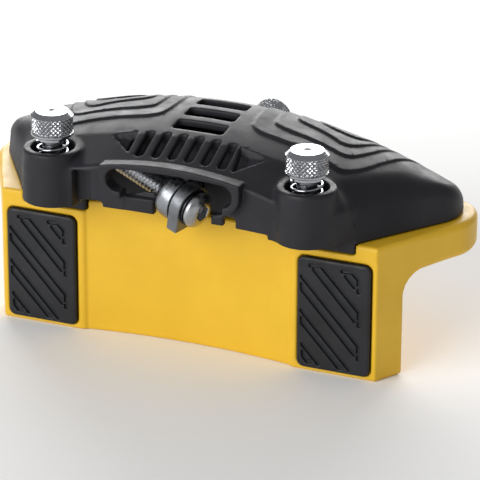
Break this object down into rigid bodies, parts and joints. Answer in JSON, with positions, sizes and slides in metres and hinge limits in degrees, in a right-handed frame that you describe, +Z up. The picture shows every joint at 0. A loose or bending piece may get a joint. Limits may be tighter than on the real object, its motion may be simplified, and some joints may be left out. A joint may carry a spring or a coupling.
{
  "type": "ski sidewall planer",
  "caption": "Hand-held ski edge tuning tool: L-shaped guide base with glide pads, domed cover, knurled depth screws and an adjustable carbide planing blade.",
  "frame": {"origin": "middle of the bounding box at its bottom, which is the underside of the guide leg", "axes": "+X along the tool's length, which is the direction it is pushed; -Y out of the grooved guide face towards the ski; +Z up, from the guide leg's bottom to the knurled screws"},
  "size_m": [0.1484, 0.079, 0.0685],
  "materials": {
    "base_plastic": "fine moulded texture, satin",
    "cover_plastic": "fine spark-eroded texture",
    "pad_plastic": "satin, grooved",
    "knob_chrome": "bright plated, diamond knurl",
    "spring_steel": "bright drawn wire",
    "holder_chrome": "polished, plated",
    "carbide": "ground, satin",
    "washer_steel": "dark, burnished",
    "screw_steel": "plated, semi-bright",
    "brass": "turned",
    "zinc_steel": "zinc plated"
  },
  "bodies": {
    "frame": {"base_body": "base_plastic", "handle_cover": "cover_plastic", "glide_pad_left": "pad_plastic", "glide_pad_right": "pad_plastic", "thread_insert_left": "brass", "thread_insert_right": "brass", "depth_spring_left": "spring_steel", "depth_spring_right": "spring_steel", "guide_bush": "brass", "thrust_washer": "zinc_steel", "cover_screw_front_left": "zinc_steel", "cover_screw_front_right": "zinc_steel", "cover_screw_rear_left": "zinc_steel", "cover_screw_rear_right": "zinc_steel"},
    "left_foot": {"depth_foot_left": "zinc_steel"},
    "right_foot": {"depth_foot_right": "zinc_steel"},
    "left_screw": {"depth_screw_left": "knob_chrome"},
    "right_screw": {"depth_screw_right": "knob_chrome"},
    "rear_adjuster": {"rear_knob": "knob_chrome"},
    "holder": {"blade_holder": "holder_chrome"},
    "cutter": {"blade": "carbide"},
    "clamp_screw": {"blade_screw": "screw_steel", "blade_washer": "washer_steel"}
  },
  "joints": [
    {"name": "left_depth_travel", "type": "slide", "parent": "frame", "child": "left_foot", "axis": [0, 0, -1], "range_m": [0, 0.003], "deforming": ["depth_spring_left"]},
    {"name": "left_depth_turn", "type": "hinge", "parent": "left_foot", "child": "left_screw", "pos_m": [-0.03871, -0.0308, 0.05], "axis": [0, 0, -1], "range_deg": [0, 1080]},
    {"name": "right_depth_travel", "type": "slide", "parent": "frame", "child": "right_foot", "axis": [0, 0, -1], "range_m": [0, 0.003], "deforming": ["depth_spring_right"]},
    {"name": "right_depth_turn", "type": "hinge", "parent": "right_foot", "child": "right_screw", "pos_m": [0.03871, -0.0308, 0.05], "axis": [0, 0, -1], "range_deg": [0, 1080]},
    {"name": "rear_knob_turn", "type": "hinge", "parent": "frame", "child": "rear_adjuster", "pos_m": [0, 0.034, 0.0489], "axis": [0, -1, 0], "range_deg": [0, 360]},
    {"name": "holder_travel", "type": "slide", "parent": "frame", "child": "holder", "axis": [0, 1, 0], "range_m": [0, 0.001]},
    {"name": "blade_angle", "type": "hinge", "parent": "holder", "child": "cutter", "pos_m": [0, -0.03175, 0.0489], "axis": [0.9229, -0.3034, -0.2368], "range_deg": [-15, 40]},
    {"name": "blade_screw_turn", "type": "hinge", "parent": "holder", "child": "clamp_screw", "pos_m": [0, -0.03175, 0.0489], "axis": [0.9229, -0.3034, -0.2368], "continuous": true}
  ],
  "couplings": [
    {"joint": "left_depth_travel", "follows": "left_depth_turn", "m_per_rad": 0.000159},
    {"joint": "right_depth_travel", "follows": "right_depth_turn", "m_per_rad": 0.000159},
    {"joint": "rear_knob_turn", "follows": "holder_travel", "rad_per_m": 6283.2}
  ]
}
